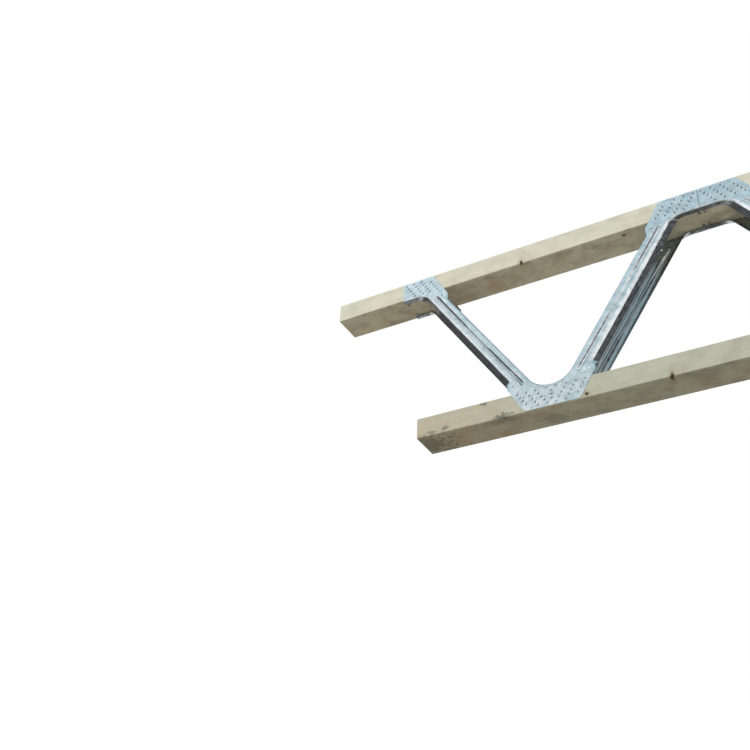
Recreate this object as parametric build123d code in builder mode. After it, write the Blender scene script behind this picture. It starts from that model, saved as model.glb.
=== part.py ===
"""Metal web joist: two timber chords laid flat, joined by pressed steel V webs.

X runs along the joist, Y across it and Z up.  The joist stands on its bottom
chord at z = 0 and is centred on x = 0 and y = 0.  Millimetres.
"""
import math
import os

from build123d import *

# Timber
CHORD_WIDTH = 72.0
CHORD_DEPTH = 47.0
ARRIS_RADIUS = 2.0
JOIST_DEPTH = 421.0
TOP_CHORD_PAST_WEBS = 172.0

# Web layout
WEB_COUNT = 4
WEB_PITCH = 664.0
FIRST_APEX_FROM_END = 290.5
SEAM_GAP = 1.0

# Pressed sheet
SHEET = 1.0
LEG_ANGLE = 56.5
LEG_WIDTH = 30.0
LEG_MIDDLE_X = 153.5
BAY_EDGE_CLEARANCE = 3.5
ARCH_RADIUS = 40.0

# Along the legs a rolled rim and then a splayed flange follow each edge of the
# flat sheet, and both fade into a square flange on the level parts
ARCH_RIM_WIDTH = 7.0
BAY_RIM_WIDTH = 4.0
RIM_DEPTH = 2.5
FLANGE_DEPTH = 12.0
FLANGE_SPLAY = 9.0

# Flat sides that stand for each bend, few because the webs repeat
ARCH_ARC_SIDES = 4
BAY_ARC_SIDES = 5

# Outline of half the apex plate, from its middle
PLATE_EDGE_GAP = 2.0
PLATE_FOOT_HALF = 60.0
PLATE_EAR_X = 86.0
PLATE_EAR_HEIGHT = 54.0
LEG_ROOT_HEIGHT = 80.0
CORNER_CUT = 6.0

# How much nearer the seam the end plate lies than the apex plate turned round
END_PLATE_SHIFT = 5.0

# Two grooves down the middle line of each leg, each blunt and wide at the plate
# and narrow towards the leg's middle, where the sheet between them stays flat
GROOVE_WIDE_END = 178.0
GROOVE_NARROW_END = 50.0
GROOVE_WIDTH = 8.4
GROOVE_NARROW_WIDTH = 5.0
GROOVE_END_TAPER = 2.5
GROOVE_DEPTH = 3.0

# Small hole beside the wide end of each groove, with few sides because it repeats
ROOT_HOLE_RADIUS = 2.0
ROOT_HOLE_SIDES = 6
ROOT_HOLE_X = 78.0
ROOT_HOLE_HEIGHT = 65.0

# Tooth slots
SLOT_LENGTH = 10.0
SLOT_WIDTH = 3.6
SLOT_ROWS_BY_COLUMN = (4, 4, 4, 3)
SLOT_ROW_STEP = 8.5
SLOT_TOP_ROW_HEIGHT = 43.0
SLOT_COLUMN_STEP = 19.0
SLOT_MIDDLE_HEIGHT = 26.0

# Tab that runs on inwards from the end of each arch flange, beside the seam
TAB_WIDTH = 4.2
TAB_LENGTH = 9.0
TAB_FROM_SEAM = 5.0

os.makedirs("parts", exist_ok=True)

side_y = CHORD_WIDTH / 2
face_y = side_y + SHEET
mid_height = JOIST_DEPTH / 2
half_seam = (WEB_PITCH - SEAM_GAP) / 2
bay_floor = CHORD_DEPTH + BAY_EDGE_CLEARANCE
bay_roof = JOIST_DEPTH - bay_floor
top_chord_length = WEB_COUNT * WEB_PITCH + 2 * TOP_CHORD_PAST_WEBS
bottom_chord_length = (WEB_COUNT - 1) * WEB_PITCH + 2 * FIRST_APEX_FROM_END
apex_xs = [(i - (WEB_COUNT - 1) / 2) * WEB_PITCH for i in range(WEB_COUNT)]

cos_leg = math.cos(math.radians(LEG_ANGLE))
sin_leg = math.sin(math.radians(LEG_ANGLE))
cos_half = math.cos(math.radians(LEG_ANGLE / 2))
sin_half = math.sin(math.radians(LEG_ANGLE / 2))

# The U between the legs is tangent to their inner edges
leg_reach = LEG_MIDDLE_X * sin_leg - mid_height * cos_leg - LEG_WIDTH / 2
bay_radius = (leg_reach + bay_floor * cos_leg) / (1 - cos_leg)


def on_leg(offset, height):
    """Point of the right leg at a height, offset outwards from its middle line."""
    along = (height - mid_height + offset * cos_leg) / sin_leg
    return (LEG_MIDDLE_X + offset * sin_leg + along * cos_leg, height)


def along_leg(distance, offset):
    """Point of the right leg, up from its middle and outwards from its middle line."""
    return (LEG_MIDDLE_X + distance * cos_leg + offset * sin_leg,
            mid_height + distance * sin_leg - offset * cos_leg)


def turned(point):
    """The point turned half a turn about the middle of the right leg."""
    return (2 * LEG_MIDDLE_X - point[0], JOIST_DEPTH - point[1])


def on_end_plate(point):
    """Where a point of the apex plate falls on the end plate."""
    x, height = turned(point)
    return (x + END_PLATE_SHIFT, height)


foot_corner = (PLATE_FOOT_HALF - CORNER_CUT, PLATE_EDGE_GAP)
foot_side = (PLATE_FOOT_HALF, PLATE_EDGE_GAP + CORNER_CUT)
ear = (PLATE_EAR_X, PLATE_EAR_HEIGHT)
leg_root = on_leg(LEG_WIDTH / 2 - ARCH_RIM_WIDTH, LEG_ROOT_HEIGHT)
end_ear = on_end_plate(ear)
leg_head = turned(on_leg(LEG_WIDTH / 2 - BAY_RIM_WIDTH, LEG_ROOT_HEIGHT))
arch_centre_x = on_leg(LEG_WIDTH / 2, bay_roof)[0] + ARCH_RADIUS * sin_half / cos_half


def splayed_radius(radius, splay):
    """Radius of a bend whose leg side has moved outwards while its level side stays."""
    return radius - splay / (1 - cos_leg)


def bay_arc(splay, inset):
    """Right half of the U from its bottom to the leg, set into the sheet."""
    radius = splayed_radius(bay_radius, splay)
    centre_z = bay_floor + radius
    radius += inset
    turns = [math.radians(LEG_ANGLE) * i / BAY_ARC_SIDES for i in range(BAY_ARC_SIDES + 1)]
    return [(radius * math.sin(t), centre_z - radius * math.cos(t)) for t in turns]


def arch_arc(splay, inset):
    """Arch corner from the leg to the level part, set into the sheet."""
    radius = splayed_radius(ARCH_RADIUS, splay)
    centre_z = bay_roof - radius
    radius += inset
    turns = [math.radians(LEG_ANGLE) * (1 - i / ARCH_ARC_SIDES) for i in range(ARCH_ARC_SIDES + 1)]
    return [(arch_centre_x - radius * math.sin(t), centre_z + radius * math.cos(t)) for t in turns]


def draw_half_sheet():
    outline = [(0, PLATE_EDGE_GAP), foot_corner, foot_side, ear, leg_root]
    outline += arch_arc(-ARCH_RIM_WIDTH, 0)
    outline += [(half_seam, bay_roof), (half_seam, JOIST_DEPTH - PLATE_EDGE_GAP)]
    outline += [on_end_plate(foot_corner), on_end_plate(foot_side), end_ear, leg_head]
    outline += reversed(bay_arc(-BAY_RIM_WIDTH, 0))
    Polyline(*outline, close=True)


def behind_face(points, depth):
    """The points in space, at a depth behind the sheet's outer face."""
    return [(x, depth - face_y, height) for x, height in points]


def arch_rail(splay, depth, inset):
    """Line along the arch flange, from the plate's ear up the leg and on to the seam."""
    root = on_leg(LEG_WIDTH / 2 + splay - inset, LEG_ROOT_HEIGHT)
    foot = (root[0] + ear[0] - leg_root[0], ear[1])
    return behind_face([foot, root] + arch_arc(splay, inset) + [(half_seam, bay_roof + inset)], depth)


def bay_rail(splay, depth, inset):
    """Line along the bay flange, from the end plate's ear down the leg to the U's middle."""
    head = turned(on_leg(LEG_WIDTH / 2 + splay - inset, LEG_ROOT_HEIGHT))
    top = (head[0] + end_ear[0] - leg_head[0], end_ear[1])
    return behind_face([top, head] + bay_arc(splay, inset)[::-1], depth)


def add_flange(rail, rim_width):
    """Adds the flange whose section runs over the rim to the tip and back inside."""
    rails = [rail(-rim_width, 0, 0), rail(0, RIM_DEPTH, 0), rail(FLANGE_SPLAY, FLANGE_DEPTH, 0),
             rail(FLANGE_SPLAY, FLANGE_DEPTH, SHEET), rail(0, RIM_DEPTH + SHEET / 2, SHEET),
             rail(-rim_width, SHEET, SHEET)]
    outlines = [[line[0] for line in rails], [line[-1] for line in rails]]
    for line, next_line in zip(rails, rails[1:] + rails[:1]):
        for i in range(len(line) - 1):
            outlines.append([line[i], line[i + 1], next_line[i + 1], next_line[i]])
    add(Solid(Shell([Face(Wire.make_polygon(outline)) for outline in outlines])))


def groove_solid(end, depth):
    """What hollows a groove below (end -1) or above (end 1) the right leg's middle."""
    wide, narrow = GROOVE_WIDTH / 2, GROOVE_NARROW_WIDTH / 2
    shoulder = GROOVE_WIDE_END - GROOVE_END_TAPER
    half = [(GROOVE_WIDE_END, wide - GROOVE_END_TAPER), (shoulder, wide), (GROOVE_NARROW_END, narrow)]
    mouth = half + [(distance, -offset) for distance, offset in half[::-1]]
    mouth = behind_face([along_leg(end * distance, offset) for distance, offset in mouth], depth)
    wide_bed, = behind_face([along_leg(end * shoulder, 0)], depth + GROOVE_DEPTH)
    narrow_bed, = behind_face([along_leg(end * GROOVE_NARROW_END, 0)], depth + GROOVE_DEPTH * narrow / wide)
    outlines = [mouth, (mouth[5], mouth[0], wide_bed), (mouth[0], mouth[1], wide_bed),
                (mouth[1], mouth[2], narrow_bed, wide_bed), (mouth[2], mouth[3], narrow_bed),
                (mouth[3], mouth[4], wide_bed, narrow_bed), (mouth[4], mouth[5], wide_bed)]
    return Solid(Shell([Face(Wire.make_polygon(outline)) for outline in outlines]))


def slot_places():
    """Centres of the slots that lie across the right leg."""
    places = []
    for column, rows in enumerate(SLOT_ROWS_BY_COLUMN):
        for row in range(rows):
            height = SLOT_TOP_ROW_HEIGHT - row * SLOT_ROW_STEP
            lean = (height - SLOT_MIDDLE_HEIGHT) * cos_leg / sin_leg
            place = (column * SLOT_COLUMN_STEP + lean, height)
            if column > 0:
                places.append(place)
            places.append(on_end_plate(place))
    return places


def middle_slot_places():
    """Centres of the level slots in the apex plate, without those left of its middle."""
    second = SLOT_TOP_ROW_HEIGHT - SLOT_ROW_STEP
    return [(SLOT_COLUMN_STEP / 2, SLOT_TOP_ROW_HEIGHT), (0, second), (0, second - SLOT_ROW_STEP)]


with BuildPart() as top_chord:
    with BuildSketch(Plane.YZ.offset(-top_chord_length / 2)):
        with Locations((0, JOIST_DEPTH - CHORD_DEPTH / 2)):
            RectangleRounded(CHORD_WIDTH, CHORD_DEPTH, ARRIS_RADIUS)
    extrude(amount=top_chord_length)
top_chord.part.label = "top_chord"
export_step(top_chord.part, "parts/top_chord.step")

with BuildPart() as bottom_chord:
    with BuildSketch(Plane.YZ.offset(-bottom_chord_length / 2)):
        with Locations((0, CHORD_DEPTH / 2)):
            RectangleRounded(CHORD_WIDTH, CHORD_DEPTH, ARRIS_RADIUS)
    extrude(amount=bottom_chord_length)
bottom_chord.part.label = "bottom_chord"
export_step(bottom_chord.part, "parts/bottom_chord.step")

# The plane of the sheet's outer face, whose normal points away from the timber
outer_face = Plane.XZ.offset(face_y)
root_hole = (ROOT_HOLE_X, ROOT_HOLE_HEIGHT)

# Past the end of its leg each flange grows shallow, down to nothing at the plate's ear
fade_height = LEG_ROOT_HEIGHT - PLATE_EAR_HEIGHT
foot_fade = Plane((0, -face_y, ear[1]), x_dir=(1, 0, 0), z_dir=(0, fade_height, -FLANGE_DEPTH))
head_fade = Plane((0, -face_y, end_ear[1]), x_dir=(1, 0, 0), z_dir=(0, fade_height, FLANGE_DEPTH))

with BuildPart() as arch_flange:
    add_flange(arch_rail, ARCH_RIM_WIDTH)
    split(bisect_by=foot_fade, keep=Keep.BOTTOM)

with BuildPart() as bay_flange:
    add_flange(bay_rail, BAY_RIM_WIDTH)
    split(bisect_by=head_fade, keep=Keep.BOTTOM)

with BuildPart() as web_blank:
    with BuildSketch(outer_face):
        with BuildLine():
            draw_half_sheet()
        make_face()
    extrude(amount=-SHEET)

    add(arch_flange.part)
    add(bay_flange.part)

    with BuildSketch(Plane.XY.offset(bay_roof)):
        with Locations((half_seam - TAB_FROM_SEAM, FLANGE_DEPTH + TAB_LENGTH / 2 - face_y)):
            Rectangle(TAB_WIDTH, TAB_LENGTH)
    extrude(amount=SHEET)

    for end in (-1, 1):
        add(groove_solid(end, SHEET))
        add(groove_solid(end, 0), mode=Mode.SUBTRACT)

    with BuildSketch(outer_face):
        for x, height in (root_hole, on_end_plate(root_hole)):
            with Locations((x, height)):
                RegularPolygon(ROOT_HOLE_RADIUS, ROOT_HOLE_SIDES)
        for x, height in slot_places():
            with Locations((x, height)):
                Rectangle(SLOT_LENGTH, SLOT_WIDTH, rotation=LEG_ANGLE - 90)
        for x, height in middle_slot_places():
            with Locations((x, height)):
                Rectangle(SLOT_LENGTH, SLOT_WIDTH)
    extrude(amount=-SHEET, mode=Mode.SUBTRACT)

    mirror(about=Plane.YZ)

for side, turn in (("front", 0), ("back", 180)):
    for number, apex_x in enumerate(apex_xs, 1):
        with BuildPart() as web:
            with Locations(Location((apex_x, 0, 0), (0, 0, turn))):
                add(web_blank.part)
        web.part.label = f"web_{side}_{number}"
        export_step(web.part, f"parts/web_{side}_{number}.step")
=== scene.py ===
"""Looks of the metal web joist: softwood chords and pressed galvanised steel webs.

Metres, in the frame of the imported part.  The webs, knots and smudges are given in
millimetres, as in the part's source.  The camera looks up at the joist's near side,
as in the photograph.
"""
import math

import bmesh
import bpy
from mathutils import Matrix, Vector
from mathutils.geometry import delaunay_2d_cdt


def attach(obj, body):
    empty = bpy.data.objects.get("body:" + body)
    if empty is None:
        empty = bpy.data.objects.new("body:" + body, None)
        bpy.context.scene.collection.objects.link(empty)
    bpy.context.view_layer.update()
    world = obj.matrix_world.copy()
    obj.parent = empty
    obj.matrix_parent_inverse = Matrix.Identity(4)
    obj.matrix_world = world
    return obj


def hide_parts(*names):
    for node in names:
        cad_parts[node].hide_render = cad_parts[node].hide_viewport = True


MM = 0.001
WHITE = (1.0, 1.0, 1.0)

# Camera, fitted to the chords' edges and ends in the photograph
CAMERA_PLACE = (-0.5199, -1.4647, -0.9431)
CAMERA_RIGHT = (0.86696, 0.49652, 0.04303)
CAMERA_FORWARD = (-0.43245, 0.70652, 0.56020)
CAMERA_REACH = 200.0
IMAGE_SIZE = 750
FOCAL_LENGTH_PIXELS = 916.7
SENSOR_WIDTH = 36.0

# Light, where 1 renders a white surface white
SKY_LIGHT = (0.71, 0.77, 0.82)
GROUND_LIGHT = (0.34, 0.328, 0.288)
HORIZON = (-0.15, 0.15)
KEY_POWER = 72.0
KEY_SIZE = 3.0
KEY_PLACE = (-1.6, -3.6, 2.4)
KEY_AIM = (-0.6, 0.0, 0.2)
FLOOR_SIZE = 60.0
FLOOR_COLOUR = (0.88, 0.84, 0.80)

# What the steel mirrors, by the height of the direction: -1 down, 0 level, 1 up
MIRRORED = (
    (-1.00, (0.28, 0.29, 0.29)),
    (-0.55, (0.48, 0.50, 0.51)),
    (-0.25, (0.60, 0.63, 0.65)),
    (-0.05, (0.46, 0.50, 0.53)),
    (0.09, (0.46, 0.50, 0.53)),
    (0.15, (1.0, 1.0, 1.0)),
    (0.49, (1.0, 1.0, 1.0)),
    (0.54, (0.47, 0.58, 0.63)),
    (0.72, (0.56, 0.74, 0.81)),
    (0.85, (0.22, 0.32, 0.40)),
    (1.00, (0.22, 0.32, 0.40)),
)
# Flags and panels stand before that.  An edge is where one starts and where it is full,
# as shares of the way along +X (right), +Y (far) or +Z (up).
DARK_FLAG = (0.045, 0.045, 0.05)
# Dark flags off both ends: the right one is low, and further in only a level strip
LEFT_FLAG_EDGE = (-0.78, -0.86)
RIGHT_FLAG_EDGE = (0.74, 0.82)
RIGHT_FLAG_TOP = (0.13, 0.09)
RIGHT_STRIP_EDGE = (0.58, 0.68)
RIGHT_STRIP_FOOT = (-0.20, -0.16)
# Dark ground on the far side, and a dark flag straight behind the joist
GROUND_DOWN_EDGE = (-0.56, -0.61)
GROUND_FAR_EDGE = (0.0, 0.12)
FAR_FLAG_EDGE = (0.78, 0.88)
FAR_FLAG_TOP = (0.62, 0.52)
FAR_FLAG_FOOT = (0.06, 0.20)
# A white panel overhead, and a pale stretch of sky on the near side to the left
PANEL_UP_EDGE = (0.88, 0.94)
PANEL_RIGHT_EDGE = (0.02, 0.14)
PALE_SKY = (0.74, 0.88, 0.94)
SKY_UP_EDGE = (0.56, 0.59)
SKY_LEFT_EDGE = (-0.20, -0.32)
SKY_NEAR_EDGE = (-0.50, -0.64)

# Pale and ring colour of each chord's timber, and the pith that its rings run round
TOP_TIMBER = ((0.87, 0.84, 0.68), (0.66, 0.56, 0.38))
BOTTOM_TIMBER = ((0.65, 0.65, 0.52), (0.47, 0.39, 0.25))
TOP_PITH = (0.0, 0.06, 0.30)
BOTTOM_PITH = (0.0, -0.075, 0.09)
STAIN_GREY = (0.24, 0.23, 0.19)
BLUSH_RED = (0.42, 0.27, 0.17)
STAIN_TAN = (0.66, 0.51, 0.34)
STAIN_DARK = (0.13, 0.14, 0.12)
# Painted shade: the dark grey of the timber that shows through the plates' slots
SLOT_SHADE = (0.17, 0.18, 0.175)
KNOT_COLOUR = (0.07, 0.045, 0.02)

# Knots that the photograph shows, and a few more of the kind where it shows nothing, as
# (centre, reach) in millimetres
TOP_KNOTS = (
    ((-1041, -36, 377), (4, 8, 8)),
    ((-820, -23, 374), (5, 5, 4)),
    ((-96, -36, 402), (11, 9, 8)),
    ((520, -14, 421), (16, 11, 12)),
    ((905, 36, 391), (12, 9, 8)),
    ((-600, 20, 421), (13, 10, 10)),
)
BOTTOM_KNOTS = (
    ((-770, -34, 0), (4, 15, 12)),
    ((-928, -36, 7), (5, 7, 5)),
    ((-290, -36, 29), (10, 8, 8)),
    ((410, -8, 0), (15, 11, 12)),
    ((780, 36, 24), (12, 9, 9)),
    ((140, 12, 47), (13, 10, 10)),
)
# Smudges of the same kind, as (centre, reach, strength, colour)
TOP_SMUDGES = (
    ((-1200, 0, 374), (360, 60, 14), 0.4, STAIN_TAN),
    ((-1120, -24, 374), (18, 9, 6), 0.3, STAIN_GREY),
    ((300, 10, 421), (60, 18, 10), 0.3, STAIN_GREY),
)
BOTTOM_SMUDGES = (
    ((-1300, -10, 10), (300, 80, 60), 0.65, STAIN_TAN),
    ((-1097, -38, 4), (26, 12, 9), 0.75, STAIN_DARK),
    ((-1223, -36, 9), (13, 8, 9), 0.7, STAIN_DARK),
    ((-1255, -36, 7), (16, 6, 4), 0.55, STAIN_DARK),
    ((-1137, -36, 43), (9, 6, 6), 0.7, STAIN_DARK),
    ((-1275, 0, 0), (75, 60, 10), 0.6, STAIN_DARK),
    ((-1105, -26, 0), (60, 14, 8), 0.3, STAIN_DARK),
    ((-1005, 8, 0), (45, 22, 8), 0.3, STAIN_DARK),
)
# Share of its reach at which a knot or smudge is full, and how ragged its outline is
SPOT_CORE = 0.45
KNOT_FRAY_SCALE = 60.0
KNOT_FRAY = 0.008
SMUDGE_FRAY_SCALE = 110.0
SMUDGE_FRAY_SHARE = 2.4
HALO_REACH = 2.2
HALO_STRENGTH = 0.55

# Growth rings, in metres, and noises of the wood as (stretch, scale, detail, roughness)
RING_SPACING = 0.0045
RING_DRIFT = 0.035
LATE_WOOD_POWER = 3.0
DRIFT_NOISE = ((0.5, 2.0, 2.0), 1.6, 2.0, 0.5)
FIBRE_NOISE = ((3.0, 220.0, 220.0), 4.0, 3.0, 0.6)
STREAK_NOISE = ((0.8, 26.0, 26.0), 3.0, 3.0, 0.6)
PATCH_NOISE = ((1.0, 1.6, 1.6), 16.0, 4.0, 0.65)
BLUSH_NOISE = (26.0, 3.0, 0.55)
BLUSH_SHIFT = (3.1, 1.7, 0.4)
# Range of a value, and what it becomes at both ends of that range
STREAK_TINT = (0.42, 0.75, 0.0, 0.28)
FIBRE_TINT = (0.35, 0.7, 0.0, 0.15)
PATCH_TINT = (0.46, 0.70, 0.0, 0.34)
BLUSH_TINT = (0.50, 0.72, 0.0, 0.36)
PATCHES_BY_FACING = (-0.3, -0.8, 0.6, 1.5)
WOOD_ROUGHNESS = (0.3, 0.7, 0.62, 0.78)
END_GRAIN_FACING = (0.5, 0.9)
RING_SHARE_SIDE = 0.22
RING_SHARE_END = 0.6
RING_BUMP_SHARE = 0.4
WOOD_BUMP = (0.25, 0.001)

# Zinc crystals, each in its own tone and a little askew, under a finer clouding
ZINC_PALE = (0.96, 0.98, 0.98)
ZINC_GREY = (0.56, 0.62, 0.65)
CRYSTAL_SCALE = 115.0
CRYSTAL_TONE_SHARE = 0.35
CRYSTAL_TILT = 0.04
CLOUD_NOISE = (55.0, 4.0, 0.65)
CLOUD_TINT = (0.36, 0.64, 0.0, 0.62)
ZINC_METALLIC = 0.96
ZINC_ROUGHNESS = (0.0, 1.0, 0.13, 0.25)
ZINC_BUMP = (0.12, 0.0004)
# The sheet's inner side, darkened with painted shade
ZINC_INSIDE_SHADE = (0.24, 0.28, 0.29)
INSIDE_SHADE_TINT = (0.0, -0.02, 0.0, 0.75)

# Web, in millimetres.  Its outline has the part's own sizes.  Its rims and grooves are
# rounded, and the grooves are a little wider and deeper than the part's.
JOIST_DEPTH = 421.0
CHORD_DEPTH = 47.0
FACE_Y = 37.0
SHEET = 1.0
WEB_COUNT = 4
WEB_PITCH = 664.0
HALF_SEAM = 331.5
LEG_ANGLE = 56.5
LEG_HALF_WIDTH = 15.0
LEG_MIDDLE_X = 153.5
BAY_EDGE_CLEARANCE = 3.5
ARCH_RADIUS = 40.0
PLATE_EDGE_GAP = 2.0
FOOT_CORNER = (54.0, 2.0)
FOOT_SIDE = (60.0, 8.0)
EAR = (86.0, 54.0)
LEG_ROOT_HEIGHT = 80.0
END_PLATE_SHIFT = 5.0
ARC_SIDES = 18

# Flange sections: how far out of the flat sheet and how deep behind its face
ARCH_SECTION = ((-7.0, 0.0), (-6.0, 0.0), (-0.6, 1.95), (1.2, 3.8), (9.0, 12.0))
BAY_SECTION = ((-4.0, 0.0), (-2.6, 0.0), (0.4, 1.0), (1.6, 4.0), (2.4, 12.0))
LEVEL_SECTION = ((-3.2, 0.0), (-1.8, 0.0), (0.0, 1.8), (0.0, 5.0), (0.0, 12.0))
BEND_STEPS = 4
FADE_STEPS = 6
FADE_EASE = 0.6
TAB_FROM_SEAM = (7.1, 2.9)
TAB_LENGTH = 9.0

# Grooves: distances from the middle of the leg, half widths and depths at its end, where
# it narrows and on the bridge between the two
GROOVE_END = 178.0
GROOVE_NARROW_END = 50.0
GROOVE_BRIDGE_END = 35.0
GROOVE_HALF_WIDTH = 7.0
GROOVE_NARROW_HALF = 5.5
GROOVE_BRIDGE_HALF = 4.0
GROOVE_DEPTH = 4.0
GROOVE_NARROW_DEPTH = 3.0
GROOVE_BRIDGE_DEPTH = 1.6
# Section of a groove: share of the half width out from its middle, share of its depth
GROOVE_SECTION = (
    (0.0, 1.0), (0.05, 1.0), (0.09, 0.99), (0.13, 0.96), (0.45, 0.50),
    (0.76, 0.04), (0.81, 0.012), (0.88, 0.0), (1.0, 0.0),
)
# Distances of the rows across a groove's round end, back from the tip
GROOVE_END_BACKS = (0.15, 0.6, 1.3, 2.2, 3.2, 4.4, 5.6)

ROOT_HOLE = (78.0, 65.0)
ROOT_HOLE_RADIUS = 2.0
ROOT_HOLE_SIDES = 14
# Slots: columns count out from the plate's middle, rows down from the top one
SLOT_LENGTH = 10.0
SLOT_WIDTH = 3.6
SLOT_CORNER = 0.5
SLOT_ROWS_BY_COLUMN = (5, 5, 5, 4)
SLOT_COLUMN_STEP = 19.0
SLOT_ROW_STEP = 8.5
SLOT_TOP_ROW_HEIGHT = 43.0
SLOT_MIDDLE_HEIGHT = 26.0
# Corners of a slot's outline between which a tooth bends in, at both ends of the slot
SLOT_ENDS = ((0, 1), (4, 5))
TOOTH_BEND = 9.5
TOOTH_TURN = math.radians(29)
TOOTH_STEPS = 4

# Welding and rounding of the web's mesh
OUTLINE_TOLERANCE = 1e-5
TRIANGLES_INSIDE = 1
WELD_REACH = 0.02
SLIVER_LENGTH = 0.005
SHARP_ANGLE = math.radians(32)

# Chord sides behind the plates, where the timber that shows through the slots gets painted
# shade,
# in millimetres: the middle of a plate, its half width at the foot, how much wider it gets
# with height, the foot's height and which way is on
CHORD_SIDE_Y = 35.6
ROW_HALF = 1327.0
TOP_PLATES = (0.0, 69.0, 0.55, 416.0, -1.0)
BOTTOM_PLATES = (332.0, 51.0, 0.55, 5.0, 1.0)
END_EASE = 1.6
END_EASE_SEGMENTS = 2
END_EASE_ANGLE = math.radians(60)

mid_height = JOIST_DEPTH / 2
bay_floor = CHORD_DEPTH + BAY_EDGE_CLEARANCE
bay_roof = JOIST_DEPTH - bay_floor
cos_leg = math.cos(math.radians(LEG_ANGLE))
sin_leg = math.sin(math.radians(LEG_ANGLE))
leg_reach = LEG_MIDDLE_X * sin_leg - mid_height * cos_leg - LEG_HALF_WIDTH
bay_radius = (leg_reach + bay_floor * cos_leg) / (1 - cos_leg)
slot_turn = LEG_ANGLE - 90


def on_leg(offset, height):
    """The point at a height, offset out from the middle line of the right leg."""
    along = (height - mid_height + offset * cos_leg) / sin_leg
    return (LEG_MIDDLE_X + offset * sin_leg + along * cos_leg, height)


def along_leg(distance, offset):
    """The point at a distance up the right leg from its middle, and offset out."""
    return (LEG_MIDDLE_X + distance * cos_leg + offset * sin_leg,
            mid_height + distance * sin_leg - offset * cos_leg)


def on_end_plate(point):
    """A point of the apex plate, turned half a turn to the end plate."""
    return (2 * LEG_MIDDLE_X - point[0] + END_PLATE_SHIFT, JOIST_DEPTH - point[1])


arch_start_x = on_leg(LEG_HALF_WIDTH, bay_roof)[0]
arch_centre_x = arch_start_x + ARCH_RADIUS * math.tan(math.radians(LEG_ANGLE / 2))


def smooth_step(share):
    return share * share * (3 - 2 * share)


def smooth_section(corners):
    """Points along a section whose corners are rounded into one another."""
    corners = [Vector(c) for c in corners]
    middles = [(a + b) / 2 for a, b in zip(corners[1:-2], corners[2:-1])]
    stops = [corners[0], *middles, corners[-1]]
    points = []
    for start, corner, stop in zip(stops, corners[1:-1], stops[1:]):
        for i in range(BEND_STEPS):
            t = i / BEND_STEPS
            points.append(start * (1 - t) ** 2 + corner * 2 * t * (1 - t) + stop * t ** 2)
    return points + [stops[-1]]


def read_section(section, share):
    """The section's point at a share of the way along it."""
    place = share * (len(section) - 1)
    index = min(int(place), len(section) - 2)
    return section[index].lerp(section[index + 1], place - index)


def arc_points(radius, centre, splay, rise, inward):
    """From the leg's end of a bend to its level end, as (x, height, share of the bend)."""
    bend = radius - splay / (1 - cos_leg)
    points = []
    for i in range(ARC_SIDES + 1):
        turn = math.radians(LEG_ANGLE) * (1 - i / ARC_SIDES)
        across, up = (bend - rise) * math.sin(turn), (bend - rise) * math.cos(turn)
        if inward:
            points.append((centre + across, bay_floor + bend - up, i / ARC_SIDES))
        else:
            points.append((centre - across, bay_roof - bend + up, i / ARC_SIDES))
    return points


def fade_rail(leg_points, share_across, ear, edge_root, side):
    """From the plate's ear to the leg's root, while the flange grows out of the sheet."""
    rail = []
    for step in range(FADE_STEPS):
        share = step / FADE_STEPS
        out, depth = read_section(leg_points, share_across * share ** FADE_EASE)
        x = ear[0] + (edge_root[0] - ear[0]) * share
        x += side * (out - leg_points[0][0]) / sin_leg
        rail.append((x, depth, ear[1] + (edge_root[1] - ear[1]) * share))
    return rail


def bend_rail(leg_point, level_point, inward):
    """Round the bend, while the section turns from the leg's to the level one."""
    splay, rise = leg_point[0] - level_point[0], level_point[0]
    radius, centre = (bay_radius, 0.0) if inward else (ARCH_RADIUS, arch_centre_x)
    rail = []
    for x, height, share in arc_points(radius, centre, splay, rise, inward):
        depth = leg_point[1] + (level_point[1] - leg_point[1]) * smooth_step(share)
        rail.append((x, depth, height))
    return rail


def flange_rails(leg_section, ear, root_height, inward):
    """Lines along a flange, from the plate's ear along the leg and round the bend.

    inward is true for the flange round the U between the legs.  Each line is a list of
    (x, depth, height), and the first is the edge of the flat sheet.
    """
    leg_points, level_points = smooth_section(leg_section), smooth_section(LEVEL_SECTION)
    side = -1 if inward else 1
    edge_root = on_leg(side * (LEG_HALF_WIDTH + leg_points[0][0]), root_height)
    rails = []
    for k, (leg_point, level_point) in enumerate(zip(leg_points, level_points)):
        rail = fade_rail(leg_points, k / (len(leg_points) - 1), ear, edge_root, side)
        root_x, _ = on_leg(side * (LEG_HALF_WIDTH + leg_point[0]), root_height)
        rail.append((root_x, leg_point[1], root_height))
        rail += bend_rail(leg_point, level_point, inward)
        if not inward:
            level = bay_roof - level_point[0]
            for back in (*TAB_FROM_SEAM, 0.0):
                rail.append((HALF_SEAM - back, level_point[1], level))
        rails.append(rail)
    return rails


def groove_stations():
    """(distance up from the leg's middle, half width, depth, distance from the end)."""
    full = GROOVE_HALF_WIDTH
    half = []
    for back in GROOVE_END_BACKS:
        half_width = math.sqrt(full ** 2 - (full - back) ** 2)
        half.append((GROOVE_END - back, half_width, GROOVE_DEPTH, back))
    half.append((GROOVE_END - full, full, GROOVE_DEPTH, full))
    half.append((GROOVE_NARROW_END, GROOVE_NARROW_HALF, GROOVE_NARROW_DEPTH, full))
    half.append((GROOVE_BRIDGE_END, GROOVE_BRIDGE_HALF, GROOVE_BRIDGE_DEPTH, full))
    return [(-s, w, d, e) for s, w, d, e in half] + half[::-1]


def groove_depth_share(out):
    """1 in the groove's bed, 0 at its mouth, by the share of the half width out."""
    for (near, high), (far, low) in zip(GROOVE_SECTION, GROOVE_SECTION[1:]):
        if out <= far:
            return high + (low - high) * (out - near) / (far - near)
    return 0.0


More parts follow.
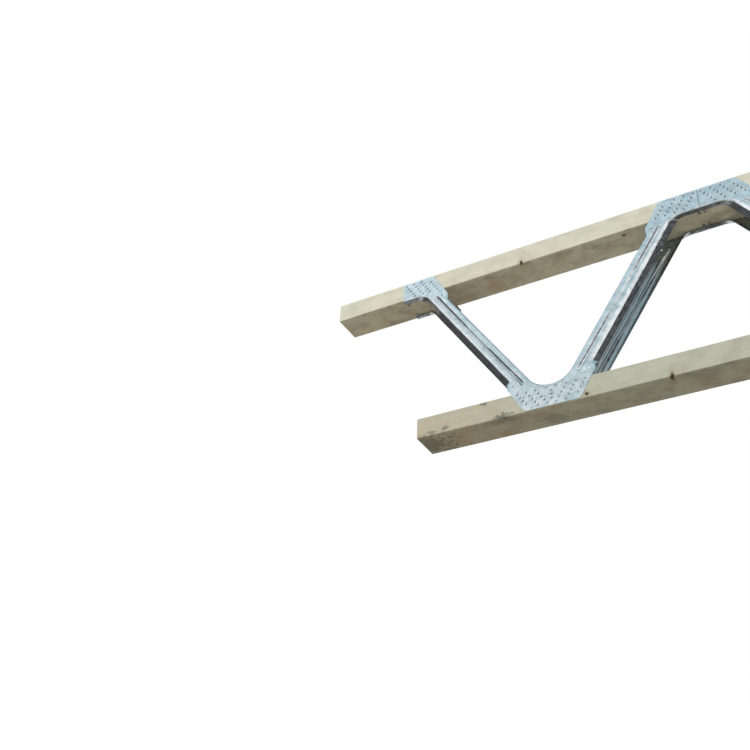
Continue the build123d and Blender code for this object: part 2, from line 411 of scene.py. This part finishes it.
def groove_row(distance, half_width, depth, from_end):
    """Points across a groove, from its bay side to its arch side."""
    shares = [out for out, _ in GROOVE_SECTION]
    row = []
    for share in [-out for out in shares[:0:-1]] + shares:
        offset = half_width * share
        out = abs(share)
        if from_end < GROOVE_HALF_WIDTH:
            out = math.hypot(GROOVE_HALF_WIDTH - from_end, offset) / GROOVE_HALF_WIDTH
        x, height = along_leg(distance, offset)
        row.append((x, depth * groove_depth_share(out), height))
    return row


def groove_tips():
    """The flat points at the low and the high end of the right leg's groove."""
    tips = (along_leg(-GROOVE_END, 0), along_leg(GROOVE_END, 0))
    return [(x, 0.0, height) for x, height in tips]


def slot_row_height(row):
    return SLOT_TOP_ROW_HEIGHT - row * SLOT_ROW_STEP


def slot_places():
    """(x, height, turn) of each slot of the right half, the apex plate's middle left out."""
    places = []
    for column, rows in enumerate(SLOT_ROWS_BY_COLUMN):
        for row in range(rows):
            height = slot_row_height(row)
            lean = (height - SLOT_MIDDLE_HEIGHT) * cos_leg / sin_leg
            place = (column * SLOT_COLUMN_STEP + lean, height)
            if column > 0:
                places.append((*place, slot_turn))
            places.append((*on_end_plate(place), slot_turn))
    return places


def middle_slot_places():
    """Level slots in the middle of the apex plate: two in the top row, one in the others."""
    top = [(x, slot_row_height(0), 0) for x in (SLOT_COLUMN_STEP / 2, -SLOT_COLUMN_STEP / 2)]
    return top + [(0, slot_row_height(row), 0) for row in (1, 2, 3)]


def mirrored_slot_places():
    right = slot_places()
    return right + [(-x, height, -turn) for x, height, turn in right] + middle_slot_places()


def slot_outline(place):
    x, height, turn = place
    along, up = SLOT_LENGTH / 2, SLOT_WIDTH / 2
    corners = [
        (along, SLOT_CORNER - up), (along, up - SLOT_CORNER),
        (along - SLOT_CORNER, up), (SLOT_CORNER - along, up),
        (-along, up - SLOT_CORNER), (-along, SLOT_CORNER - up),
        (SLOT_CORNER - along, -up), (along - SLOT_CORNER, -up),
    ]
    cos_turn, sin_turn = math.cos(math.radians(turn)), math.sin(math.radians(turn))
    return [(x + cos_turn * u - sin_turn * v, height + sin_turn * u + cos_turn * v)
            for u, v in corners]


def root_holes():
    """The round hole beside each end of both grooves."""
    turns = [2 * math.pi * i / ROOT_HOLE_SIDES for i in range(ROOT_HOLE_SIDES)]
    rim = [(ROOT_HOLE_RADIUS * math.cos(turn), ROOT_HOLE_RADIUS * math.sin(turn))
           for turn in turns]
    holes = []
    for x, height in (ROOT_HOLE, on_end_plate(ROOT_HOLE)):
        for centre in (-x, x):
            holes.append([(centre + across, height + up) for across, up in rim])
    return holes


def groove_mouths(grooves):
    """The holes that the grooves of both legs leave in the flat sheet."""
    low_tip, high_tip = groove_tips()
    arch_side = [row[-1] for row in grooves]
    bay_side = [row[0] for row in grooves[::-1]]
    mouth = [(x, height) for x, _, height in [low_tip, *arch_side, high_tip, *bay_side]]
    return [mouth, [(-x, height) for x, height in mouth[::-1]]]


def sheet_outline(arch_edge, bay_edge):
    """The flat sheet's outline, from the apex plate's foot round the right leg and back."""
    right = [(0, PLATE_EDGE_GAP), FOOT_CORNER, FOOT_SIDE]
    right += [(x, height) for x, _, height in arch_edge]
    right += [(HALF_SEAM, JOIST_DEPTH - PLATE_EDGE_GAP)]
    right += [on_end_plate(FOOT_CORNER), on_end_plate(FOOT_SIDE)]
    right += [(x, height) for x, _, height in bay_edge]
    return right + [(-x, height) for x, height in right[-2:0:-1]]


class SheetMesh:
    """Collects faces of the web's outer skin; depth is measured in from its face."""

    def __init__(self):
        self.verts = []
        self.faces = []

    def add_face(self, points):
        start = len(self.verts)
        for x, depth, height in points:
            self.verts.append((x * MM, (depth - FACE_Y) * MM, height * MM))
        self.faces.append(tuple(range(start, start + len(points))))

    def add_turned(self, points, mirrored):
        if mirrored:
            points = [(-x, depth, height) for x, depth, height in points[::-1]]
        self.add_face(points)

    def add_grid(self, lines, mirrored):
        """Faces between lines that lie ever further right of the way they run."""
        for line, next_line in zip(lines, lines[1:]):
            for i in range(len(line) - 1):
                corners = [line[i], next_line[i], next_line[i + 1], line[i + 1]]
                self.add_turned(corners, mirrored)

    def add_groove(self, grooves, mirrored):
        """A groove's rows, closed with a fan of triangles at each tip."""
        low_tip, high_tip = groove_tips()
        self.add_grid(list(zip(*grooves)), mirrored)
        for a, b in zip(grooves[0], grooves[0][1:]):
            self.add_turned([low_tip, b, a], mirrored)
        for a, b in zip(grooves[-1], grooves[-1][1:]):
            self.add_turned([high_tip, a, b], mirrored)

    def add_tab(self, arch_lip, mirrored):
        """The tab on the arch flange's lip, between its two points before the seam."""
        near, far = arch_lip[-3], arch_lip[-2]
        reach = [(x, depth + TAB_LENGTH, height) for x, depth, height in (near, far)]
        self.add_turned([near, *reach, far], mirrored)

    def add_tooth(self, first, last):
        """The root of a tooth, bent in at one end of its slot."""
        first, last = Vector(first), Vector(last)
        inward = Vector((first[1] - last[1], last[0] - first[0])).normalized()
        line = []
        for i in range(TOOTH_STEPS + 1):
            turn = TOOTH_TURN * i / TOOTH_STEPS
            out, depth = TOOTH_BEND * math.sin(turn), TOOTH_BEND * (1 - math.cos(turn))
            line.append((first + inward * out, last + inward * out, depth))
        for (a, b, depth), (c, d, next_depth) in zip(line, line[1:]):
            self.add_face([(a[0], depth, a[1]), (b[0], depth, b[1]),
                           (d[0], next_depth, d[1]), (c[0], next_depth, c[1])])

    def add_flat(self, outline, holes):
        """The flat sheet inside an outline, without its holes."""
        points, loops = [], []
        for loop in [outline] + holes:
            loops.append(list(range(len(points), len(points) + len(loop))))
            points += [Vector(p) for p in loop]
        places, _, triangles, _, _, parents_of_triangles = delaunay_2d_cdt(
            points, [], loops, TRIANGLES_INSIDE, OUTLINE_TOLERANCE, True)
        for triangle, parents in zip(triangles, parents_of_triangles):
            if set(parents) == {0}:
                self.add_face([(places[i][0], 0.0, places[i][1]) for i in triangle])


def web_skin():
    """The outer skin of one web at the origin, with its face towards -Y."""
    sheet = SheetMesh()
    arch = flange_rails(ARCH_SECTION, EAR, LEG_ROOT_HEIGHT, False)
    bay = flange_rails(BAY_SECTION, on_end_plate(EAR), JOIST_DEPTH - LEG_ROOT_HEIGHT, True)
    grooves = [groove_row(*station) for station in groove_stations()]
    for mirrored in (False, True):
        sheet.add_grid(arch, mirrored)
        sheet.add_grid(bay, mirrored)
        sheet.add_groove(grooves, mirrored)
        sheet.add_tab(arch[-1], mirrored)
    slots = [slot_outline(place) for place in mirrored_slot_places()]
    for slot in slots:
        for first, last in SLOT_ENDS:
            sheet.add_tooth(slot[first], slot[last])
    holes = groove_mouths(grooves) + root_holes() + slots
    sheet.add_flat(sheet_outline(arch[0], bay[0]), holes)
    return sheet


def welded_skin(sheet):
    skin = bpy.data.meshes.new("web_skin")
    skin.from_pydata(sheet.verts, [], sheet.faces)
    welded = bmesh.new()
    welded.from_mesh(skin)
    bmesh.ops.remove_doubles(welded, verts=welded.verts, dist=WELD_REACH * MM)
    bmesh.ops.dissolve_degenerate(welded, edges=welded.edges, dist=SLIVER_LENGTH * MM)
    welded.to_mesh(skin)
    welded.free()
    return skin


def sheet_solid(skin):
    """The skin given the sheet's thickness, inwards from its face."""
    blank = bpy.data.objects.new("web_blank", skin)
    bpy.context.collection.objects.link(blank)
    thickness = blank.modifiers.new("sheet", "SOLIDIFY")
    thickness.thickness = SHEET * MM
    thickness.offset = -1.0
    thickness.use_even_offset = True
    bpy.context.view_layer.update()
    evaluated = blank.evaluated_get(bpy.context.evaluated_depsgraph_get())
    solid = bpy.data.meshes.new_from_object(evaluated)
    bpy.data.objects.remove(blank)
    solid.shade_smooth()
    solid.set_sharp_from_angle(angle=SHARP_ANGLE)
    return solid


def add_piece(name, mesh, material, node):
    """Adds a piece that stands for a CAD node."""
    piece = bpy.data.objects.new(name, mesh)
    bpy.context.collection.objects.link(piece)
    mesh.materials.append(material)
    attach(piece, "root")
    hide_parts(node)


def make_webs(material):
    """One pressed sheet, copied to the place of every CAD web."""
    solid = sheet_solid(welded_skin(web_skin()))
    for side, turn in (("front", 0.0), ("back", math.pi)):
        for number in range(1, WEB_COUNT + 1):
            mesh = solid.copy()
            x = (number - (WEB_COUNT + 1) / 2) * WEB_PITCH * MM
            mesh.transform(Matrix.Translation((x, 0, 0)) @ Matrix.Rotation(turn, 4, "Z"))
            add_piece(f"pressed_web_{side}_{number}", mesh, material,
                      f"web_{side}_{number}")


def new_material(name):
    material = bpy.data.materials.new(name)
    material.use_nodes = True
    material.node_tree.nodes.clear()
    return material


class Graph:
    """Short ways to add and join the nodes of one node tree."""

    # Sockets of the mix node that hold its colours
    MIX_FIRST, MIX_SECOND, MIX_RESULT = 6, 7, 2

    def __init__(self, tree):
        self.tree = tree

    def node(self, kind, **settings):
        node = self.tree.nodes.new(kind)
        for name, value in settings.items():
            setattr(node, name, value)
        return node

    def join(self, output, socket):
        self.tree.links.new(output, socket)

    def put(self, socket, value):
        """Sets a socket to a number, vector or colour, or joins an output to it."""
        if isinstance(value, bpy.types.NodeSocket):
            self.join(value, socket)
        elif socket.type == "RGBA":
            socket.default_value = (*value, 1.0)
        else:
            socket.default_value = value

    def math(self, operation, first, second=0.0):
        node = self.node("ShaderNodeMath", operation=operation)
        self.put(node.inputs[0], first)
        self.put(node.inputs[1], second)
        return node.outputs[0]

    def product(self, first, *others):
        for other in others:
            first = self.math("MULTIPLY", first, other)
        return first

    def vector_math(self, operation, first, second=(0.0, 0.0, 0.0)):
        node = self.node("ShaderNodeVectorMath", operation=operation)
        self.put(node.inputs[0], first)
        self.put(node.inputs[1], second)
        return node.outputs["Value" if operation in ("LENGTH", "DISTANCE") else "Vector"]

    def scaled(self, vector, scale):
        return self.vector_math("MULTIPLY", vector, scale)

    def centred(self, vector):
        """A vector of values from 0 to 1, moved to run from -0.5 to 0.5."""
        return self.vector_math("SUBTRACT", vector, (0.5, 0.5, 0.5))

    def axes(self, vector):
        """The X, Y and Z part of a vector."""
        node = self.node("ShaderNodeSeparateXYZ")
        self.join(vector, node.inputs[0])
        return node.outputs["X"], node.outputs["Y"], node.outputs["Z"]

    def place(self):
        return self.node("ShaderNodeTexCoord").outputs["Object"]

    def normal(self):
        return self.node("ShaderNodeNewGeometry").outputs["Normal"]

    def noise(self, vector, scale, detail, roughness):
        node = self.node("ShaderNodeTexNoise")
        self.put(node.inputs["Vector"], vector)
        self.put(node.inputs["Scale"], scale)
        self.put(node.inputs["Detail"], detail)
        self.put(node.inputs["Roughness"], roughness)
        return node.outputs["Fac"]

    def stretched_noise(self, place, stretch, scale, detail, roughness):
        return self.noise(self.scaled(place, stretch), scale, detail, roughness)

    def noise_push(self, vector, scale):
        """A push of up to half a unit each way along every axis."""
        node = self.node("ShaderNodeTexNoise")
        self.put(node.inputs["Vector"], vector)
        self.put(node.inputs["Scale"], scale)
        return self.centred(node.outputs["Color"])

    def spread(self, value, low, high, out_low=0.0, out_high=1.0):
        """The value's place between low and high, held to what it is at both ends."""
        node = self.node("ShaderNodeMapRange")
        self.put(node.inputs["Value"], value)
        self.put(node.inputs["From Min"], low)
        self.put(node.inputs["From Max"], high)
        self.put(node.inputs["To Min"], out_low)
        self.put(node.inputs["To Max"], out_high)
        return node.outputs["Result"]

    def blend(self, share, first, second):
        """The first colour, with a share of the second."""
        node = self.node("ShaderNodeMix", data_type="RGBA")
        self.put(node.inputs["Factor"], share)
        self.put(node.inputs[self.MIX_FIRST], first)
        self.put(node.inputs[self.MIX_SECOND], second)
        return node.outputs[self.MIX_RESULT]

    def bump(self, strength, distance, height):
        node = self.node("ShaderNodeBump")
        self.put(node.inputs["Strength"], strength)
        self.put(node.inputs["Distance"], distance)
        self.put(node.inputs["Height"], height)
        return node

    def show(self, shader, output_kind="ShaderNodeOutputMaterial"):
        self.join(shader.outputs[0], self.node(output_kind).inputs["Surface"])


def spot(graph, place, centre, reach):
    """1 in the core of an oval spot, falling to 0 at its reach along each axis."""
    apart = graph.vector_math("SUBTRACT", place, tuple(v * MM for v in centre))
    apart = graph.scaled(apart, tuple(1 / (v * MM) for v in reach))
    return graph.spread(graph.vector_math("LENGTH", apart), 1.0, SPOT_CORE)


def behind_plates(graph, place, middle_x, half_width, widening, foot, onward):
    """1 on the chord's sides behind the web plates, which repeat at the web pitch; there the
    timber gets painted shade.
    """
    x, y, z = graph.axes(place)
    from_plate = graph.math("SUBTRACT", x, (middle_x - WEB_PITCH / 2) * MM)
    from_plate = graph.math("FLOORED_MODULO", from_plate, WEB_PITCH * MM)
    from_plate = graph.math("SUBTRACT", from_plate, WEB_PITCH / 2 * MM)
    height = graph.math("MULTIPLY", graph.math("SUBTRACT", z, foot * MM), onward)
    limit = graph.math("ADD", graph.math("MULTIPLY", height, widening), half_width * MM)
    return graph.product(
        graph.math("LESS_THAN", graph.math("ABSOLUTE", from_plate), limit),
        graph.math("LESS_THAN", graph.math("ABSOLUTE", x), ROW_HALF * MM),
        graph.math("GREATER_THAN", graph.math("ABSOLUTE", y), CHORD_SIDE_Y * MM),
        graph.math("GREATER_THAN", height, 0.0),
    )


def growth_rings(graph, place, pith):
    """1 in the dark late wood of each ring, 0 in the pale early wood."""
    drift = graph.stretched_noise(place, *DRIFT_NOISE)
    from_pith = graph.vector_math("DISTANCE", graph.scaled(place, (0.0, 1.0, 1.0)), pith)
    ring = graph.math("ADD", from_pith, graph.math("MULTIPLY", drift, RING_DRIFT))
    wave = graph.math("SINE", graph.math("MULTIPLY", ring, 2 * math.pi / RING_SPACING))
    return graph.math("POWER", graph.spread(wave, -1.0, 1.0), LATE_WOOD_POWER)


def down_facing_patches(graph, place, facing_z, colour):
    """Grey patches and a red blush, which are strongest on faces that look down."""
    amount = graph.spread(facing_z, *PATCHES_BY_FACING)
    patch = graph.spread(graph.stretched_noise(place, *PATCH_NOISE), *PATCH_TINT)
    colour = graph.blend(graph.math("MULTIPLY", patch, amount), colour, STAIN_GREY)
    blush = graph.noise(graph.vector_math("ADD", place, BLUSH_SHIFT), *BLUSH_NOISE)
    blush = graph.math("MULTIPLY", graph.spread(blush, *BLUSH_TINT), amount)
    return graph.blend(blush, colour, BLUSH_RED)


def smudged(graph, place, smudges, colour):
    fray = graph.noise_push(place, SMUDGE_FRAY_SCALE)
    for centre, reach, strength, stain in smudges:
        push = graph.scaled(fray, tuple(SMUDGE_FRAY_SHARE * v * MM for v in reach))
        ragged = graph.vector_math("ADD", place, push)
        share = graph.math("MULTIPLY", spot(graph, ragged, centre, reach), strength)
        colour = graph.blend(share, colour, stain)
    return colour


def knotted(graph, place, knots, colour, ring_colour):
    push = graph.scaled(graph.noise_push(place, KNOT_FRAY_SCALE), (KNOT_FRAY,) * 3)
    ragged = graph.vector_math("ADD", place, push)
    for centre, reach in knots:
        halo = spot(graph, ragged, centre, tuple(v * HALO_REACH for v in reach))
        colour = graph.blend(graph.math("MULTIPLY", halo, HALO_STRENGTH), colour, ring_colour)
        colour = graph.blend(spot(graph, ragged, centre, reach), colour, KNOT_COLOUR)
    return colour


def softwood(name, pale, ring_colour, pith, knots, smudges, plates):
    """Planed softwood whose rings run round a pith beside the board.

    plates says where the web plates lie, for behind_plates.
    """
    material = new_material(name)
    graph = Graph(material.node_tree)
    place = graph.place()
    facing_x, _, facing_z = graph.axes(graph.normal())
    late_wood = growth_rings(graph, place, pith)
    fibre = graph.stretched_noise(place, *FIBRE_NOISE)
    streak = graph.stretched_noise(place, *STREAK_NOISE)

    end_grain = graph.spread(graph.math("ABSOLUTE", facing_x), *END_GRAIN_FACING)
    ring_share = graph.spread(end_grain, 0.0, 1.0, RING_SHARE_SIDE, RING_SHARE_END)
    colour = graph.blend(graph.math("MULTIPLY", late_wood, ring_share), pale, ring_colour)
    colour = graph.blend(graph.spread(streak, *STREAK_TINT), colour, ring_colour)
    colour = graph.blend(graph.spread(fibre, *FIBRE_TINT), colour, ring_colour)
    colour = down_facing_patches(graph, place, facing_z, colour)
    colour = smudged(graph, place, smudges, colour)
    colour = knotted(graph, place, knots, colour, ring_colour)
    # Painted shade on the timber behind the plates, which shows through the slots
    colour = graph.blend(behind_plates(graph, place, *plates), colour, SLOT_SHADE)

    relief = graph.math("ADD", fibre, graph.math("MULTIPLY", late_wood, RING_BUMP_SHARE))
    bump = graph.bump(*WOOD_BUMP, relief)
    shader = graph.node("ShaderNodeBsdfPrincipled")
    graph.put(shader.inputs["Base Color"], colour)
    graph.put(shader.inputs["Roughness"], graph.spread(fibre, *WOOD_ROUGHNESS))
    graph.join(bump.outputs["Normal"], shader.inputs["Normal"])
    graph.show(shader)
    return material


def galvanised_steel():
    material = new_material("galvanised_steel")
    graph = Graph(material.node_tree)
    place, normal = graph.place(), graph.normal()
    crystal = graph.node("ShaderNodeTexVoronoi", feature="F1")
    graph.put(crystal.inputs["Vector"], place)
    graph.put(crystal.inputs["Scale"], CRYSTAL_SCALE)
    tone = graph.node("ShaderNodeSeparateColor")
    graph.join(crystal.outputs["Color"], tone.inputs[0])
    cloud = graph.noise(place, *CLOUD_NOISE)

    crystal_share = graph.math("MULTIPLY", tone.outputs[0], CRYSTAL_TONE_SHARE)
    share = graph.math("ADD", crystal_share, graph.spread(cloud, *CLOUD_TINT))
    colour = graph.blend(share, ZINC_PALE, ZINC_GREY)
    # A face whose normal points back to the joist's middle plane is on the inner side, which
    # gets painted shade
    _, outward, _ = graph.axes(graph.vector_math("MULTIPLY", normal, place))
    colour = graph.blend(graph.spread(outward, *INSIDE_SHADE_TINT), colour, ZINC_INSIDE_SHADE)

    # Each crystal of the zinc lies a little askew, and so mirrors another part of the sky
    askew = graph.scaled(graph.centred(crystal.outputs["Color"]), (CRYSTAL_TILT,) * 3)
    tilted = graph.vector_math("NORMALIZE", graph.vector_math("ADD", normal, askew))
    bump = graph.bump(*ZINC_BUMP, cloud)
    graph.join(tilted, bump.inputs["Normal"])
    shader = graph.node("ShaderNodeBsdfPrincipled")
    graph.put(shader.inputs["Base Color"], colour)
    graph.put(shader.inputs["Metallic"], ZINC_METALLIC)
    graph.put(shader.inputs["Roughness"], graph.spread(tone.outputs[1], *ZINC_ROUGHNESS))
    graph.join(bump.outputs["Normal"], shader.inputs["Normal"])
    graph.show(shader)
    return material


def floor_material():
    """Pale from above, clear from below, and clear to all but the camera."""
    material = new_material("floor")
    graph = Graph(material.node_tree)
    seen = graph.node("ShaderNodeLightPath").outputs["Is Camera Ray"]
    backfacing = graph.node("ShaderNodeNewGeometry").outputs["Backfacing"]
    from_above = graph.math("SUBTRACT", 1.0, backfacing)
    clear = graph.node("ShaderNodeBsdfTransparent")
    pale = graph.node("ShaderNodeBsdfDiffuse")
    graph.put(pale.inputs["Color"], FLOOR_COLOUR)
    mix = graph.node("ShaderNodeMixShader")
    graph.put(mix.inputs[0], graph.math("MULTIPLY", seen, from_above))
    graph.join(clear.outputs[0], mix.inputs[1])
    graph.join(pale.outputs[0], mix.inputs[2])
    graph.show(mix)
    return material


def make_floor():
    bpy.ops.mesh.primitive_plane_add(size=FLOOR_SIZE, location=(0, 0, 0))
    floor = bpy.context.object
    floor.name = "floor"
    floor.data.materials.append(floor_material())


def sky_and_ground(graph, up):
    """The mirrored colour by the height of the direction."""
    ramp = graph.node("ShaderNodeValToRGB")
    graph.put(ramp.inputs[0], graph.spread(up, -1.0, 1.0))
    stops = ramp.color_ramp.elements
    while len(stops) < len(MIRRORED):
        stops.new(0.5)
    for stop, (height, colour) in zip(stops, MIRRORED):
        stop.position = (height + 1) / 2
        stop.color = (*colour, 1.0)
    return ramp.outputs[0]


def mirrored_surroundings(graph, right, far, up):
    """What the steel mirrors: sky and ground, with the flags and panels before them."""
    in_sky = graph.product(graph.spread(up, *SKY_UP_EDGE),
                           graph.spread(right, *SKY_LEFT_EDGE),
                           graph.spread(far, *SKY_NEAR_EDGE))
    seen = graph.blend(in_sky, sky_and_ground(graph, up), PALE_SKY)
    low = graph.spread(up, *RIGHT_FLAG_TOP)
    flags = (
        graph.spread(right, *LEFT_FLAG_EDGE),
        graph.product(graph.spread(right, *RIGHT_FLAG_EDGE), low),
        graph.product(graph.spread(right, *RIGHT_STRIP_EDGE), low,
                      graph.spread(up, *RIGHT_STRIP_FOOT)),
        graph.product(graph.spread(up, *GROUND_DOWN_EDGE),
                      graph.spread(far, *GROUND_FAR_EDGE)),
        graph.product(graph.spread(far, *FAR_FLAG_EDGE), graph.spread(up, *FAR_FLAG_TOP),
                      graph.spread(up, *FAR_FLAG_FOOT)),
    )
    for share in flags:
        seen = graph.blend(share, seen, DARK_FLAG)
    in_panel = graph.product(graph.spread(up, *PANEL_UP_EDGE),
                             graph.spread(right, *PANEL_RIGHT_EDGE))
    return graph.blend(in_panel, seen, WHITE)


def make_world():
    """White to the camera, what the steel mirrors to its rays, and light to all else."""
    world = bpy.data.worlds.new("studio")
    bpy.context.scene.world = world
    world.use_nodes = True
    world.node_tree.nodes.clear()
    graph = Graph(world.node_tree)
    direction = graph.node("ShaderNodeTexCoord").outputs["Generated"]
    right, far, up = graph.axes(direction)
    light = graph.blend(graph.spread(up, *HORIZON), GROUND_LIGHT, SKY_LIGHT)
    seen = mirrored_surroundings(graph, right, far, up)
    path = graph.node("ShaderNodeLightPath").outputs
    mirrored = graph.math("MAXIMUM", path["Is Glossy Ray"], path["Is Transmission Ray"])
    strength = graph.blend(mirrored, light, seen)
    strength = graph.blend(path["Is Camera Ray"], strength, WHITE)
    background = graph.node("ShaderNodeBackground")
    graph.put(background.inputs["Color"], strength)
    graph.show(background, "ShaderNodeOutputWorld")


def make_key_lamp():
    lamp = bpy.data.lights.new("key", "AREA")
    lamp.energy = KEY_POWER
    lamp.size = KEY_SIZE
    holder = bpy.data.objects.new("key", lamp)
    holder.location = KEY_PLACE
    aim = Vector(KEY_AIM) - Vector(KEY_PLACE)
    holder.rotation_euler = aim.to_track_quat("-Z", "Y").to_euler()
    holder.visible_glossy = False
    bpy.context.collection.objects.link(holder)


def make_camera():
    right = Vector(CAMERA_RIGHT).normalized()
    forward = Vector(CAMERA_FORWARD).normalized()
    up = right.cross(forward).normalized()
    turn = Matrix((right, up, -forward)).transposed().to_4x4()
    camera = bpy.data.cameras.new("camera")
    camera.sensor_width = SENSOR_WIDTH
    camera.lens = FOCAL_LENGTH_PIXELS / IMAGE_SIZE * SENSOR_WIDTH
    camera.clip_end = CAMERA_REACH
    holder = bpy.data.objects.new("camera", camera)
    holder.matrix_world = Matrix.Translation(CAMERA_PLACE) @ turn
    bpy.context.collection.objects.link(holder)
    bpy.context.scene.camera = holder


def dress(node, material):
    """Gives a CAD node its material."""
    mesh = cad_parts[node].data
    mesh.materials.clear()
    mesh.materials.append(material)


def ease_ends(node):
    """Rounds the sawn ends of a chord."""
    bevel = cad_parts[node].modifiers.new("eased_ends", "BEVEL")
    bevel.width = END_EASE * MM
    bevel.segments = END_EASE_SEGMENTS
    bevel.limit_method = "ANGLE"
    bevel.angle_limit = END_EASE_ANGLE
    bevel.use_clamp_overlap = False


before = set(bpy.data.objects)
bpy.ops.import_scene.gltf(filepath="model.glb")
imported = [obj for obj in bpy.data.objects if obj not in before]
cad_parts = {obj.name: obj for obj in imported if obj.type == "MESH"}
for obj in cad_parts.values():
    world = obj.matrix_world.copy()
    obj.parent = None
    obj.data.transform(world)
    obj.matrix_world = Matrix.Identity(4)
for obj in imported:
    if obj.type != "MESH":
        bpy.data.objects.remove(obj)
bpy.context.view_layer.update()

steel = galvanised_steel()
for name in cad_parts:
    dress(name, steel)
dress("top_chord", softwood("softwood_top", *TOP_TIMBER, TOP_PITH,
                            TOP_KNOTS, TOP_SMUDGES, TOP_PLATES))
dress("bottom_chord", softwood("softwood_bottom", *BOTTOM_TIMBER, BOTTOM_PITH,
                               BOTTOM_KNOTS, BOTTOM_SMUDGES, BOTTOM_PLATES))
ease_ends("top_chord")
ease_ends("bottom_chord")
make_webs(steel)

make_floor()
make_world()
make_key_lamp()
make_camera()
bpy.context.scene.view_settings.view_transform = "Standard"
